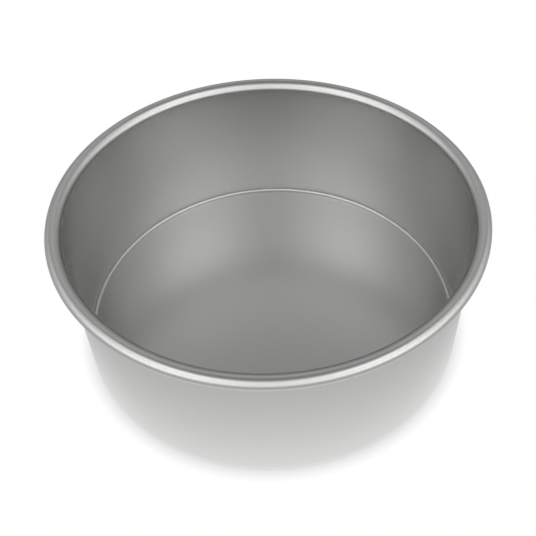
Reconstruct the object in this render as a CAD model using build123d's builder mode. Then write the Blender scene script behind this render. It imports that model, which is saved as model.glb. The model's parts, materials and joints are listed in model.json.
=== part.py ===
from build123d import *
import math
import os

# Round cake tin: one blank of sheet metal, drawn into a straight-sided cup with a flat base,
# its top edge bent outwards and curled under into a hollow rim.
# Frame: millimetres, +Z up, origin at the centre of the underside.

# Driving dimensions
inside_diameter = 254.0
inside_depth = 101.6
sheet_thickness = 1.2
inside_corner_radius = 2.2
rim_bend_radius = 5.7
curl_outer_radius = 4.2
curl_edge_gap = 0.5

# The cup: base, corner and wall share the thickness of the sheet
inside_radius = inside_diameter / 2
overall_height = inside_depth + sheet_thickness
wall_outer_radius = inside_radius + sheet_thickness
outside_corner_radius = inside_corner_radius + sheet_thickness

# The rim: a wide bend carries the sheet from the wall up to the top of the tin, and a tighter
# curl carries it on from there, with its own centre under the highest point of the bend
rim_centre_radius = inside_radius + rim_bend_radius
bend_centre_height = overall_height - rim_bend_radius
bend_inner_radius = rim_bend_radius - sheet_thickness
curl_centre_height = overall_height - curl_outer_radius
curl_inner_radius = curl_outer_radius - sheet_thickness

# Angles round the rim, counted from straight outwards: the bend leaves the wall at 180 degrees
# and ends on top at 90, and the curl passes down the outside, its raw edge stopping short of
# the wall by the gap, or level with the curl's centre where the wall is further off than that
bend_start_angle = 180.0
rim_top_angle = 90.0
bend_sweep = rim_top_angle - bend_start_angle
curl_reach_to_wall = min(rim_bend_radius - sheet_thickness - curl_edge_gap, curl_outer_radius)
curl_end_angle = -math.degrees(math.acos(-curl_reach_to_wall / curl_outer_radius))
curl_sweep = curl_end_angle - rim_top_angle

# Tin body: the section through the sheet, turned once round the middle
with BuildPart() as tin_body:
    with BuildSketch(Plane.XZ) as section:
        with BuildLine():
            underside = Line((0, 0), (wall_outer_radius - outside_corner_radius, 0))
            outside_corner = RadiusArc(
                underside @ 1,
                (wall_outer_radius, outside_corner_radius),
                -outside_corner_radius,
            )
            wall_outside = Line(outside_corner @ 1, (wall_outer_radius, bend_centre_height))
            bend_underneath = CenterArc(
                (rim_centre_radius, bend_centre_height),
                bend_inner_radius,
                bend_start_angle,
                bend_sweep,
            )
            curl_inside = CenterArc(
                (rim_centre_radius, curl_centre_height),
                curl_inner_radius,
                rim_top_angle,
                curl_sweep,
            )
            curl_outside = CenterArc(
                (rim_centre_radius, curl_centre_height),
                curl_outer_radius,
                rim_top_angle,
                curl_sweep,
            )
            raw_edge = Line(curl_inside @ 1, curl_outside @ 1)
            bend_on_top = CenterArc(
                (rim_centre_radius, bend_centre_height),
                rim_bend_radius,
                bend_start_angle,
                bend_sweep,
            )
            wall_inside = Line(
                bend_on_top @ 0,
                (inside_radius, sheet_thickness + inside_corner_radius),
            )
            inside_corner = RadiusArc(
                wall_inside @ 1,
                (inside_radius - inside_corner_radius, sheet_thickness),
                inside_corner_radius,
            )
            floor_inside = Line(inside_corner @ 1, (0, sheet_thickness))
            axis_line = Line(floor_inside @ 1, (0, 0))
        make_face()
    revolve(axis=Axis.Z)

tin_body.part.label = "tin_body"

os.makedirs("parts", exist_ok=True)
export_step(tin_body.part, "parts/tin_body.step")
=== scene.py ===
import json
import math

import bpy
import numpy as np
from mathutils import Matrix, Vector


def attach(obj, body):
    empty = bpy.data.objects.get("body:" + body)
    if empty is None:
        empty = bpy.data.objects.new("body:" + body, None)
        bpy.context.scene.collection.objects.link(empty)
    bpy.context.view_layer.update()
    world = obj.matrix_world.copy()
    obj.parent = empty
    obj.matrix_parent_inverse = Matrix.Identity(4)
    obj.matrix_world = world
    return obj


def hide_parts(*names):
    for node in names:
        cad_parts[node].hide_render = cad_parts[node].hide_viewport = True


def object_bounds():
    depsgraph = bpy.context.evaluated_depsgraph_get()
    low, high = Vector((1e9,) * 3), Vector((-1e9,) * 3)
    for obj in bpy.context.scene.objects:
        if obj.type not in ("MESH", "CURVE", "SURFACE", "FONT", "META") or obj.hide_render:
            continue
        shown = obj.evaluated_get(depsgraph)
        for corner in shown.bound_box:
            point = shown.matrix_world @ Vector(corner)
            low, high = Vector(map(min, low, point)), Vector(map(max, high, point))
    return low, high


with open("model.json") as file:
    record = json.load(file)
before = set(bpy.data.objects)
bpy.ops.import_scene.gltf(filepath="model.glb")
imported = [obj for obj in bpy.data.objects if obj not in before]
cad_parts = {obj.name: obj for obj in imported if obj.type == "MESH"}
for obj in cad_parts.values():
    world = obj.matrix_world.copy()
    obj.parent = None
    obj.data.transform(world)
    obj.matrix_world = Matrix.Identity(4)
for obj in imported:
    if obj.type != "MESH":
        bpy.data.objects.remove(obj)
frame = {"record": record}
cad_low, cad_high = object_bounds()

bl_info = {
    "name": "Round cake tin",
    "version": (1, 0, 0),
    "blender": (4, 5, 0),
    "location": "3D View > Sidebar > Cake tin",
    "description": "A deep round cake tin in satin anodised aluminium, and the stage it stands on",
    "category": "Add Mesh",
}

# The tin fills the frame's box: its height is the box's, and its rim touches the box's nearer sides
RIM_RADIUS = min(cad_high.x, cad_high.y)
TIN_HEIGHT = cad_high.z
TIN_SLOT = frame["record"]["subparts"][0]["material_slot"]

# Points of the tin's section that are nearer than this are one point
SAME_POINT = 1e-7

# Marks in the finish, in metres. The pucker is the ridge above the inside corner
CLOUD_SIZE = 0.07
DRAW_LINE_SIZE = 0.0016
PUCKER_HEIGHT = 0.0105
PUCKER_WIDTH = 0.0012
PUCKER_WANDER = 0.005
PUCKER_WANDER_SIZE = 0.018
PUCKER_PATCH_SIZE = 0.03

# In the noise for marks that run up the wall, a metre upwards counts as this share of a metre sideways
UPRIGHT_SHARE = 0.03

# The values of a noise, which goes from 0 to 1, where a mark starts and where it is full
PUCKER_PATCH_LIMITS = (0.45, 0.65)
SPECK_LIMITS = (0.865, 0.885)

# How much a speck darkens the metal, and how far clouding and grain shift the roughness
SPECK_DARKENING = 0.35
CLOUDED_ROUGHNESS = 0.03
GRAINED_ROUGHNESS = 0.02

# Where the inner face ends, in sheet thicknesses outwards from the inside radius, and where the rim's own
# roughness starts and is full, in bend radii down from the top
INNER_FACE_START, INNER_FACE_END = 0.2, 0.8
RIM_START, RIM_FULL = 1.6, 0.6

# The table reaches far past the picture, and lies a hair under the tin
TABLE_RADIUS = 4.0
TABLE_DROP = 0.0002
SHADOW_SAMPLES = 16

# The camera's sensor in millimetres, and the nearest that it sees in metres
SENSOR_WIDTH = 36.0
NEAREST_SEEN = 0.01

BLACK = (0.0, 0.0, 0.0, 1.0)
WHITE = (1.0, 1.0, 1.0, 1.0)


# Sizes and finishes that a user may change

class TinSizes(bpy.types.PropertyGroup):
    """Sizes of the tin, in metres."""

    rim_radius: bpy.props.FloatProperty(
        name="Rim radius", description="From the tin's axis to the outside of its curled rim",
        default=RIM_RADIUS, unit="LENGTH", precision=5)
    height: bpy.props.FloatProperty(
        name="Height", description="From the underside to the top of the curled rim",
        default=TIN_HEIGHT, unit="LENGTH", precision=5)
    sheet: bpy.props.FloatProperty(
        name="Sheet", description="Thickness of the sheet that the tin is drawn from",
        default=0.0012, unit="LENGTH", precision=5)
    corner: bpy.props.FloatProperty(
        name="Inside corner", description="Radius between the floor and the wall, inside",
        default=0.0022, unit="LENGTH", precision=5)
    bend: bpy.props.FloatProperty(
        name="Bend radius", description="Radius on the rim's inner side, where the wall bends outwards",
        default=0.0057, unit="LENGTH", precision=5)
    curl: bpy.props.FloatProperty(
        name="Curl radius", description="Radius on the rim's outer side, where the sheet curls under",
        default=0.0042, unit="LENGTH", precision=5)
    curl_gap: bpy.props.FloatProperty(
        name="Curl gap", description="Room between the curl's raw edge and the wall",
        default=0.0005, unit="LENGTH", precision=5)
    around: bpy.props.IntProperty(
        name="Steps around", description="Faces in one turn round the tin", default=320)


class TinFinish(bpy.types.PropertyGroup):
    """The anodised finish."""

    metal: bpy.props.FloatVectorProperty(
        name="Metal", description="Colour that the anodised metal reflects",
        subtype="COLOR", size=3, default=(0.5, 0.5, 0.493))
    clouding: bpy.props.FloatProperty(
        name="Clouding", description="How much the grey drifts from place to place, as a share of it",
        default=0.03, subtype="FACTOR")
    roughness: bpy.props.FloatProperty(
        name="Roughness", description="How widely the etched surface spreads a reflection",
        default=0.22, subtype="FACTOR")
    floor_roughness: bpy.props.FloatProperty(
        name="Floor roughness", description="The same on the flat floor, which drawing has not smoothed",
        default=0.31, subtype="FACTOR")
    corner_roughness: bpy.props.FloatProperty(
        name="Corner roughness", description="The same in the inside corner, which drawing has stretched",
        default=0.4, subtype="FACTOR")
    rim_roughness: bpy.props.FloatProperty(
        name="Rim roughness", description="The same on the rim, where bending has opened the surface",
        default=0.36, subtype="FACTOR")
    grain: bpy.props.FloatProperty(
        name="Grain size", description="Size of the finest marks that etching leaves",
        default=0.0006, unit="LENGTH", precision=5)
    grain_depth: bpy.props.FloatProperty(
        name="Grain depth", description="Depth of the etched grain",
        default=0.0000006, unit="LENGTH", precision=6)
    draw_depth: bpy.props.FloatProperty(
        name="Draw line depth", description="Depth of the faint upright lines that drawing leaves",
        default=0.0000008, unit="LENGTH", precision=6)
    pucker_depth: bpy.props.FloatProperty(
        name="Pucker depth", description="Height of the faint uneven ridge just above the inside corner",
        default=0.000008, unit="LENGTH", precision=6)
    speck: bpy.props.FloatProperty(
        name="Speck", description="Width of the few dark specks in the finish",
        default=0.0011, unit="LENGTH", precision=5)


class StageSettings(bpy.types.PropertyGroup):
    """Camera, light and ground. A level of 1 is the white of the background."""

    camera_back: bpy.props.FloatProperty(
        name="Camera back", description="How far in front of the tin's axis the camera stands",
        default=0.3622, unit="LENGTH", precision=4)
    camera_up: bpy.props.FloatProperty(
        name="Camera up", description="How far above the ground the camera stands",
        default=0.4282, unit="LENGTH", precision=4)
    camera_pitch: bpy.props.FloatProperty(
        name="Camera pitch", description="How far the camera looks down from level",
        default=math.radians(47.53), subtype="ANGLE")
    camera_yaw: bpy.props.FloatProperty(
        name="Camera yaw", description="How far the camera looks right of the tin's axis",
        default=math.radians(3.34), subtype="ANGLE")
    camera_roll: bpy.props.FloatProperty(
        name="Camera roll", description="How far the camera leans to its left",
        default=math.radians(-0.06), subtype="ANGLE")
    lens: bpy.props.FloatProperty(
        name="Lens", description="Focal length on a sensor 36 mm wide",
        default=52.55, subtype="DISTANCE_CAMERA")
    shift_right: bpy.props.FloatProperty(
        name="Shift right", description="Sideways lens shift, as a share of the frame", default=-0.0662)
    shift_up: bpy.props.FloatProperty(
        name="Shift up", description="Upward lens shift, as a share of the frame", default=0.0172)
    lamp_level: bpy.props.FloatProperty(
        name="Lamp level", description="Level of the two high lamps in front, one each side",
        default=3.25)
    lamp_turn: bpy.props.FloatProperty(
        name="Lamp turn", description="How far round from the front each lamp hangs",
        default=math.radians(55.5), subtype="ANGLE")
    lamp_climb: bpy.props.FloatProperty(
        name="Lamp climb", description="How high each lamp hangs",
        default=math.radians(54.0), subtype="ANGLE")
    lamp_spread: bpy.props.FloatVectorProperty(
        name="Lamp spread", description="How far each lamp's glow spreads, sideways and upwards",
        default=(math.radians(41.0), math.radians(11.2)), size=2, unit="ROTATION")
    strip_level: bpy.props.FloatProperty(
        name="Strip level", description="Level of the two long flat lamps in front, one each side",
        default=3.1)
    strip_turn: bpy.props.FloatProperty(
        name="Strip turn", description="How far round from the front the middle of each long lamp is",
        default=math.radians(63.5), subtype="ANGLE")
    strip_climb: bpy.props.FloatProperty(
        name="Strip climb", description="How high the long lamps hang",
        default=math.radians(26.0), subtype="ANGLE")
    strip_spread: bpy.props.FloatVectorProperty(
        name="Strip spread", description="How far each long lamp's glow spreads, sideways and upwards",
        default=(math.radians(60.0), math.radians(5.0)), size=2, unit="ROTATION")
    panel_level: bpy.props.FloatProperty(
        name="Panel level", description="Level of the two small panels near straight in front",
        default=0.95)
    panel_turn: bpy.props.FloatProperty(
        name="Panel turn", description="How far round from the front each small panel hangs",
        default=math.radians(21.0), subtype="ANGLE")
    panel_climb: bpy.props.FloatProperty(
        name="Panel climb", description="How high the small panels hang",
        default=math.radians(42.5), subtype="ANGLE")
    panel_spread: bpy.props.FloatVectorProperty(
        name="Panel spread", description="How far each small panel spreads, sideways and upwards",
        default=(math.radians(29.0), math.radians(7.0)), size=2, unit="ROTATION")
    low_level: bpy.props.FloatProperty(
        name="Low lamp level", description="Level of the two low lamps in front, one each side",
        default=2.5)
    low_turn: bpy.props.FloatProperty(
        name="Low lamp turn", description="How far round from the front each low lamp stands",
        default=math.radians(47.5), subtype="ANGLE")
    low_climb: bpy.props.FloatProperty(
        name="Low lamp climb", description="How high the low lamps stand",
        default=math.radians(4.7), subtype="ANGLE")
    low_spread: bpy.props.FloatVectorProperty(
        name="Low lamp spread", description="How far each low lamp's glow spreads, sideways and upwards",
        default=(math.radians(46.5), math.radians(13.5)), size=2, unit="ROTATION")
    screen_level: bpy.props.FloatProperty(
        name="Screen level", description="Level of the two pale screens, one at each side",
        default=0.56)
    screen_turn: bpy.props.FloatProperty(
        name="Screen turn", description="How far round from the front each screen stands",
        default=math.radians(116.5), subtype="ANGLE")
    screen_climb: bpy.props.FloatProperty(
        name="Screen climb", description="How high the screens stand",
        default=math.radians(46.5), subtype="ANGLE")
    screen_spread: bpy.props.FloatVectorProperty(
        name="Screen spread", description="How far each screen spreads, sideways and upwards",
        default=(math.radians(28.0), math.radians(12.0)), size=2, unit="ROTATION")
    back_level: bpy.props.FloatProperty(
        name="Backdrop level", description="Level of the backdrop's two lit parts, near straight behind",
        default=1.3)
    back_turn: bpy.props.FloatProperty(
        name="Backdrop turn", description="How far round from the front each lit part of the backdrop is",
        default=math.radians(168.0), subtype="ANGLE")
    back_climb: bpy.props.FloatProperty(
        name="Backdrop climb", description="How high the backdrop's lit parts are",
        default=math.radians(44.5), subtype="ANGLE")
    back_spread: bpy.props.FloatVectorProperty(
        name="Backdrop spread", description="How far each lit part spreads, sideways and upwards",
        default=(math.radians(8.5), math.radians(7.0)), size=2, unit="ROTATION")
    room_level: bpy.props.FloatProperty(
        name="Room level", description="Level of the bare room straight behind; it falls to none in front",
        default=0.26)
    table_front: bpy.props.FloatProperty(
        name="Table in front", description="Level of the table by the tin's front, as the tin sees it",
        default=1.25)
    table_back: bpy.props.FloatProperty(
        name="Table behind", description="Level of the table by the tin's back, as the tin sees it",
        default=0.1)
    table_far: bpy.props.FloatProperty(
        name="Table far off", description="Level of the table far from the tin, as the tin sees it",
        default=0.59)
    table_reach: bpy.props.FloatProperty(
        name="Table reach", description="How far from the tin the table stays lit",
        default=0.061, unit="LENGTH")
    shadow_reach: bpy.props.FloatProperty(
        name="Shadow reach", description="How far the tin's soft shadow reaches over the table",
        default=0.009, unit="LENGTH")
    shadow_depth: bpy.props.FloatProperty(
        name="Shadow depth", description="How dark the soft shadow gets where tin and table meet",
        default=0.45, subtype="FACTOR")


# Surfaces of revolution

def line_points(start, end, steps):
    """Points on a straight line, evenly spaced from start to end, both counted."""
    share = np.linspace(0.0, 1.0, steps + 1)[:, None]
    return np.array(start) * (1 - share) + np.array(end) * share


def arc_points(centre, radius, start, end, steps):
    """Points on an arc: the centre plus the radius times (cosine, sine) of angles from start to end."""
    angle = np.linspace(start, end, steps + 1)
    return np.array(centre) + radius * np.stack([np.cos(angle), np.sin(angle)], 1)


def inside_radius(size):
    """From the tin's axis to the inner face of its wall."""
    return size.rim_radius - size.curl - size.bend


def tin_profile(size):
    """The section through the sheet as (radius, height) points, from the middle of the floor to the middle
    of the underside: floor, inside corner, wall, up the bend, over and round the curl to its raw edge, back
    along the inner faces of curl and bend, down the wall's outer face, round the outside corner and in along
    the underside."""
    inside = inside_radius(size)
    outside = inside + size.sheet
    bend_centre = (inside + size.bend, size.height - size.bend)
    curl_centre = (inside + size.bend, size.height - size.curl)
    reach = min(size.bend - size.sheet - size.curl_gap, size.curl)
    raw_edge = -math.acos(-reach / size.curl)
    inner_centre = (inside - size.corner, size.sheet + size.corner)
    down, right, up, left = -math.pi / 2, 0.0, math.pi / 2, math.pi
    floor_steps, corner_steps, wall_steps = 32, 12, 20
    bend_steps, curl_steps = 20, 44
    runs = [
        line_points((0.0, size.sheet), (inside - size.corner, size.sheet), floor_steps),
        arc_points(inner_centre, size.corner, down, right, corner_steps),
        line_points((inside, size.sheet + size.corner), (inside, bend_centre[1]), wall_steps),
        arc_points(bend_centre, size.bend, left, up, bend_steps),
        arc_points(curl_centre, size.curl, up, raw_edge, curl_steps),
        arc_points(curl_centre, size.curl - size.sheet, raw_edge, up, curl_steps // 2),
        arc_points(bend_centre, size.bend - size.sheet, up, left, bend_steps // 2),
        line_points((outside, bend_centre[1]), (outside, size.sheet + size.corner), wall_steps),
        arc_points(inner_centre, size.corner + size.sheet, right, down, corner_steps),
        line_points((inside - size.corner, 0.0), (0.0, 0.0), floor_steps // 2),
    ]
    joined = np.concatenate(runs)
    apart = np.linalg.norm(np.diff(joined, axis=0), axis=1) > SAME_POINT
    return joined[np.concatenate([[True], apart])]


def turned(name, profile, around):
    """A closed surface made by turning a profile once round Z: the point at distance s along the profile and
    angle a is (radius(s) cos a, radius(s) sin a, height(s)). The profile's two ends lie on the axis and
    become poles."""
    angle = np.linspace(0.0, 2 * math.pi, around, endpoint=False)
    rings = profile[1:-1]
    radius, height = rings[:, 0][:, None], rings[:, 1][:, None]
    grid = np.stack([radius * np.cos(angle), radius * np.sin(angle), height + 0 * angle], 2)
    poles = np.array([[0.0, 0.0, profile[0, 1]], [0.0, 0.0, profile[-1, 1]]])
    points = np.concatenate([grid.reshape(-1, 3), poles])
    count = len(rings)
    first, last = count * around, count * around + 1
    column = np.arange(around)
    after = (column + 1) % around
    row = np.arange(count - 1)[:, None] * around
    below = row + around
    quads = np.stack([below + column, below + after, row + after, row + column], 2).reshape(-1, 4)
    floor_fan = np.stack([column, after, np.full(around, first)], 1)
    end = (count - 1) * around
    underside_fan = np.stack([np.full(around, last), end + after, end + column], 1)
    mesh = bpy.data.meshes.new(name)
    mesh.from_pydata(points, [], quads.tolist() + floor_fan.tolist() + underside_fan.tolist())
    mesh.polygons.foreach_set("use_smooth", np.ones(len(mesh.polygons), bool))
    mesh.update()
    piece = bpy.data.objects.new(name, mesh)
    bpy.context.scene.collection.objects.link(piece)
    return piece


# Shader maths

class Socket:
    """One output socket of a node tree. Arithmetic between sockets and numbers adds Math nodes."""

    def __init__(self, tree, source=None):
        self.tree = tree
        self.source = source

    def node(self, kind, settings=None, values=None, output=0):
        """Adds a node of the given type. Its settings are made first, then each input named or numbered in
        values gets its number or is linked to another Socket. Gives back the chosen output, or None for an
        end node."""
        made = self.tree.nodes.new(kind)
        for name, setting in (settings or {}).items():
            setattr(made, name, setting)
        for key, value in (values or {}).items():
            if isinstance(value, Socket):
                self.tree.links.new(value.source, made.inputs[key])
            else:
                made.inputs[key].default_value = value
        return Socket(self.tree, made.outputs[output]) if made.outputs else None

    def also(self, output):
        """Another output of the same node."""
        return Socket(self.tree, self.source.node.outputs[output])

    def maths(self, operation, first, second):
        return self.node("ShaderNodeMath", {"operation": operation}, {0: first, 1: second})

    def __add__(self, other):
        return self.maths("ADD", self, other)

    def __radd__(self, other):
        return self.maths("ADD", other, self)

    def __sub__(self, other):
        return self.maths("SUBTRACT", self, other)

    def __rsub__(self, other):
        return self.maths("SUBTRACT", other, self)

    def __mul__(self, other):
        return self.maths("MULTIPLY", self, other)

    def __rmul__(self, other):
        return self.maths("MULTIPLY", other, self)

    def __truediv__(self, other):
        return self.maths("DIVIDE", self, other)

    def __rtruediv__(self, other):
        return self.maths("DIVIDE", other, self)

    def __pow__(self, other):
        return self.maths("POWER", self, other)

    def __rpow__(self, other):
        return self.maths("POWER", other, self)


def step(value, start, end):
    """0 before start, 1 after end and a smooth rise between them."""
    inputs = {"Value": value, "From Min": start, "From Max": end}
    return value.node("ShaderNodeMapRange", {"interpolation_type": "SMOOTHSTEP"}, inputs)


def noise(where, size, detail=2.0):
    """Soft noise from 0 to 1 whose marks are about size metres across."""
    return where.node("ShaderNodeTexNoise", values={"Vector": where, "Scale": 1 / size, "Detail": detail})


def new_tree(holder):
    """An empty node tree for a material or a world, as a Socket to build from."""
    holder.use_nodes = True
    holder.node_tree.nodes.clear()
    return Socket(holder.node_tree)


# The tin's finish

def satin_anodised(finish, size):
    """Satin anodised aluminium: an even grey metal that drifts a little in tone, duller on floor, corner and
    rim than on the wall, with etched grain, faint upright draw lines on the wall, a faint uneven ridge above
    the inside corner and a few tiny dark specks."""
    material = bpy.data.materials.new(TIN_SLOT)
    make = new_tree(material)
    where = make.node("ShaderNodeTexCoord", output="Object")
    x = make.node("ShaderNodeSeparateXYZ", values={"Vector": where}, output="X")
    y, z = x.also("Y"), x.also("Z")
    out = (x * x + y * y) ** 0.5
    inside = inside_radius(size)

    # Where each part of the tin is: 1 on it and 0 elsewhere
    inner_face = 1 - step(out, inside + INNER_FACE_START * size.sheet, inside + INNER_FACE_END * size.sheet)
    near_wall = step(out, inside - 2 * size.corner, inside - size.corner)
    low = 1 - step(z, size.sheet + size.corner, size.sheet + 2 * size.corner)
    at_corner = low * near_wall * inner_face
    on_floor = (1 - step(z, size.sheet, size.sheet + size.corner)) * (1 - near_wall)
    on_wall = step(z, size.sheet + size.corner, size.sheet + 4 * size.corner)
    on_rim = step(z, size.height - RIM_START * size.bend, size.height - RIM_FULL * size.bend)

    # The marks. Those that run up the wall come from a noise that is stretched upwards
    cloud = noise(where, CLOUD_SIZE)
    grain = noise(where, finish.grain)
    upright = make.node("ShaderNodeCombineXYZ", values={"X": x, "Y": y, "Z": z * UPRIGHT_SHARE})
    draw_lines = noise(upright, DRAW_LINE_SIZE)
    wander = noise(upright, PUCKER_WANDER_SIZE)
    ridge_height = size.sheet + PUCKER_HEIGHT + PUCKER_WANDER * (wander - 0.5)
    from_ridge = (z - ridge_height) / PUCKER_WIDTH
    patchy = step(noise(upright, PUCKER_PATCH_SIZE), *PUCKER_PATCH_LIMITS)
    ridge = 1 / (1 + from_ridge * from_ridge) * patchy * inner_face
    specks = step(noise(where, finish.speck, 0.0), *SPECK_LIMITS)

    # Colour, roughness and bump
    tone = 1 - finish.clouding / 2 + finish.clouding * cloud
    tone = tone * (1 - SPECK_DARKENING * specks)
    metal = make.node("ShaderNodeMix", {"data_type": "RGBA"}, {
        "Factor": tone, 6: BLACK, 7: (*finish.metal, 1.0)}, output=2)
    rim_extra = finish.rim_roughness - finish.roughness
    corner_extra = finish.corner_roughness - finish.roughness
    floor_extra = finish.floor_roughness - finish.roughness
    roughness = finish.roughness + rim_extra * on_rim + corner_extra * at_corner + floor_extra * on_floor
    roughness = roughness + CLOUDED_ROUGHNESS * (cloud - 0.5) + GRAINED_ROUGHNESS * (grain - 0.5)
    height = finish.grain_depth * grain + finish.draw_depth * draw_lines * on_wall
    height = height + finish.pucker_depth * ridge
    normal = make.node("ShaderNodeBump", values={"Strength": 1.0, "Distance": 1.0, "Height": height})
    shader = make.node("ShaderNodeBsdfPrincipled", values={
        "Base Color": metal, "Metallic": 1.0, "Roughness": roughness, "Normal": normal})
    make.node("ShaderNodeOutputMaterial", values={"Surface": shader})
    return material


# The stage

def white_table(stage, size):
    """A white table that keeps the tin's soft shadow. The camera sees it white to its edge. The tin sees it
    as it is lit: brightest beside the tin in front, and dimmer behind it and far off. The lit level fades to
    the far one as e to the minus distance from the tin, as a share of the table's reach."""
    material = bpy.data.materials.new("white_table")
    material.cycles.emission_sampling = "NONE"
    make = new_tree(material)
    where = make.node("ShaderNodeTexCoord", output="Object")
    x = make.node("ShaderNodeSeparateXYZ", values={"Vector": where}, output="X")
    y = x.also("Y")
    out = (x * x + y * y) ** 0.5
    facing = 0.5 - 0.5 * y / out
    beside = stage.table_back + (stage.table_front - stage.table_back) * facing
    fading = math.e ** ((size.rim_radius - out) / stage.table_reach)
    lit = stage.table_far + (beside - stage.table_far) * fading
    open_air = make.node("ShaderNodeAmbientOcclusion", {"samples": SHADOW_SAMPLES}, {
        "Distance": stage.shadow_reach}, output="AO")
    shade = 1 - stage.shadow_depth * (1 - open_air)
    seen = make.node("ShaderNodeLightPath", output="Is Camera Ray")
    mirrored = seen.also("Is Glossy Ray") + seen.also("Is Transmission Ray")
    level = seen * shade + mirrored * lit
    glow = make.node("ShaderNodeEmission", values={"Color": WHITE, "Strength": level})
    make.node("ShaderNodeOutputMaterial", values={"Surface": glow})
    return material


def table_top(radius, drop):
    """A round table top: the point at distance s and angle a is (s cos a, s sin a, -drop). Its rings lie at
    the squares of even steps up to 1, times the radius, so they are closer together near the tin."""
    steps, rings, smallest = 48, 24, 0.02
    distance = np.linspace(smallest, 1.0, rings)[:, None] ** 2 * radius
    angle = np.linspace(0.0, 2 * math.pi, steps, endpoint=False)
    points = np.stack([distance * np.cos(angle), distance * np.sin(angle), 0 * distance * angle - drop], 2)
    row = np.arange(rings - 1)[:, None] * steps
    further = row + steps
    column = np.arange(steps)
    after = (column + 1) % steps
    quads = np.stack([row + column, further + column, further + after, row + after], 2).reshape(-1, 4)
    mesh = bpy.data.meshes.new("table_top")
    mesh.from_pydata(points.reshape(-1, 3), [], quads.tolist() + [column.tolist()])
    mesh.update()
    table = bpy.data.objects.new("table_top", mesh)
    bpy.context.scene.collection.objects.link(table)
    return table


def soft_patch(toward, turn, climb, spread):
    """A soft patch of light in the room, 1 at its middle, which lies turn round from the front and climb up.
    It fades as e to the minus square of how far a direction lies round from the middle, as a share of the
    first spread, and the same upwards with the second. The squared angle round is taken as 2 - 2 cos(angle),
    so it has no seam."""
    x, y, climbed = toward
    across = (x * x + y * y) ** 0.5
    round_cosine = (x * math.sin(turn) - y * math.cos(turn)) / across
    up_off = (climbed - climb) / spread[1]
    return math.e ** (2 / spread[0] ** 2 * (round_cosine - 1) - up_off * up_off)


def light_room(stage):
    """White to the camera. To the tin it is a dim room with high lamps, long flat lamps, small panels and
    low lamps in front, pale screens at the sides and a backdrop that is lit in two parts. All of them come in
    pairs, one on each side."""
    world = bpy.data.worlds.new("studio_room")
    make = new_tree(world)
    direction = make.node("ShaderNodeTexCoord", output="Generated")
    x = make.node("ShaderNodeSeparateXYZ", values={"Vector": direction}, output="X")
    y, z = x.also("Y"), x.also("Z")
    toward = (x, y, make.node("ShaderNodeMath", {"operation": "ARCSINE"}, {0: z}))
    level = stage.room_level * (0.5 + 0.5 * y)
    for hand in (-1, 1):
        lamp = soft_patch(toward, hand * stage.lamp_turn, stage.lamp_climb, stage.lamp_spread)
        strip = soft_patch(toward, hand * stage.strip_turn, stage.strip_climb, stage.strip_spread)
        panel = soft_patch(toward, hand * stage.panel_turn, stage.panel_climb, stage.panel_spread)
        low_lamp = soft_patch(toward, hand * stage.low_turn, stage.low_climb, stage.low_spread)
        screen = soft_patch(toward, hand * stage.screen_turn, stage.screen_climb, stage.screen_spread)
        backdrop = soft_patch(toward, hand * stage.back_turn, stage.back_climb, stage.back_spread)
        level = level + stage.lamp_level * lamp + stage.strip_level * strip + stage.panel_level * panel
        level = level + stage.low_level * low_lamp + stage.screen_level * screen
        level = level + stage.back_level * backdrop
    seen = make.node("ShaderNodeLightPath", output="Is Camera Ray")
    level = seen + (1 - seen) * level
    background = make.node("ShaderNodeBackground", values={"Color": WHITE, "Strength": level})
    make.node("ShaderNodeOutputWorld", values={"Surface": background})
    bpy.context.scene.world = world


def camera_matrix(stage):
    """The camera's place and turn: it stands in front of the tin and looks along +Y, turned right by the yaw
    and down by the pitch, then leans by the roll."""
    pitch, yaw, roll = stage.camera_pitch, stage.camera_yaw, stage.camera_roll
    ahead = np.array([math.sin(yaw) * math.cos(pitch), math.cos(yaw) * math.cos(pitch), -math.sin(pitch)])
    right = np.array([math.cos(yaw), -math.sin(yaw), 0.0])
    up = np.cross(right, ahead)
    leaned_right = math.cos(roll) * right + math.sin(roll) * up
    leaned_up = math.cos(roll) * up - math.sin(roll) * right
    place = np.array([0.0, -stage.camera_back, stage.camera_up])
    turn = np.eye(4)
    turn[:3, 0], turn[:3, 1], turn[:3, 2], turn[:3, 3] = leaned_right, leaned_up, -ahead, place
    return Matrix(turn.tolist())


def place_camera(stage):
    """The camera, with its lens and shift."""
    data = bpy.data.cameras.new("camera")
    data.sensor_width = SENSOR_WIDTH
    data.lens = stage.lens
    data.shift_x = stage.shift_right
    data.shift_y = stage.shift_up
    data.clip_start = NEAREST_SEEN
    camera = bpy.data.objects.new("camera", data)
    camera.matrix_world = camera_matrix(stage)
    bpy.context.scene.collection.objects.link(camera)
    bpy.context.scene.camera = camera


# Operators and panel

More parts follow.
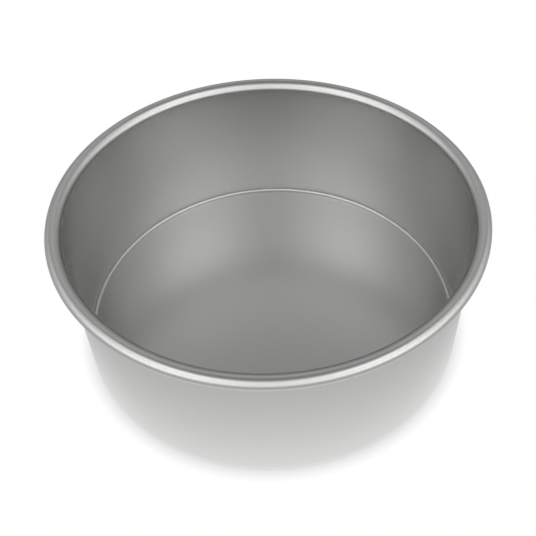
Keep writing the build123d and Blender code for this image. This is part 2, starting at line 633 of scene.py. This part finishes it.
class CAKE_TIN_OT_make_tin(bpy.types.Operator):
    """Turn the tin's section into a smooth sheet metal shell and give it its satin finish"""

    bl_idname = "cake_tin.make_tin"
    bl_label = "Make the tin"

    def execute(self, context):
        size = context.scene.tin_sizes
        tin = turned("cake_tin", tin_profile(size), size.around)
        tin.data.materials.append(satin_anodised(context.scene.tin_finish, size))
        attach(tin, "root")
        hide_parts("tin_body")
        return {"FINISHED"}


class CAKE_TIN_OT_make_stage(bpy.types.Operator):
    """Set the white table, the studio light and the camera"""

    bl_idname = "cake_tin.make_stage"
    bl_label = "Make the stage"

    def execute(self, context):
        stage = context.scene.tin_stage
        table = table_top(TABLE_RADIUS, TABLE_DROP)
        table.data.materials.append(white_table(stage, context.scene.tin_sizes))
        light_room(stage)
        place_camera(stage)
        context.scene.view_settings.view_transform = "Standard"
        return {"FINISHED"}


class CAKE_TIN_PT_sidebar(bpy.types.Panel):
    """The tin's sizes and finish, the stage's settings and the buttons that make them"""

    bl_idname = "CAKE_TIN_PT_sidebar"
    bl_label = "Round cake tin"
    bl_space_type = "VIEW_3D"
    bl_region_type = "UI"
    bl_category = "Cake tin"

    def draw(self, context):
        groups = (context.scene.tin_sizes, context.scene.tin_finish, context.scene.tin_stage)
        for group in groups:
            box = self.layout.box()
            for name in group.bl_rna.properties.keys():
                if name not in ("rna_type", "name"):
                    box.prop(group, name)
        self.layout.operator(CAKE_TIN_OT_make_tin.bl_idname)
        self.layout.operator(CAKE_TIN_OT_make_stage.bl_idname)


CLASSES = (
    TinSizes, TinFinish, StageSettings,
    CAKE_TIN_OT_make_tin, CAKE_TIN_OT_make_stage, CAKE_TIN_PT_sidebar,
)


def register():
    for each in CLASSES:
        bpy.utils.register_class(each)
    bpy.types.Scene.tin_sizes = bpy.props.PointerProperty(type=TinSizes)
    bpy.types.Scene.tin_finish = bpy.props.PointerProperty(type=TinFinish)
    bpy.types.Scene.tin_stage = bpy.props.PointerProperty(type=StageSettings)


def unregister():
    del bpy.types.Scene.tin_sizes
    del bpy.types.Scene.tin_finish
    del bpy.types.Scene.tin_stage
    for each in reversed(CLASSES):
        bpy.utils.unregister_class(each)


def main():
    register()
    bpy.ops.cake_tin.make_tin()
    bpy.ops.cake_tin.make_stage()


if __name__ == "__main__":
    main()
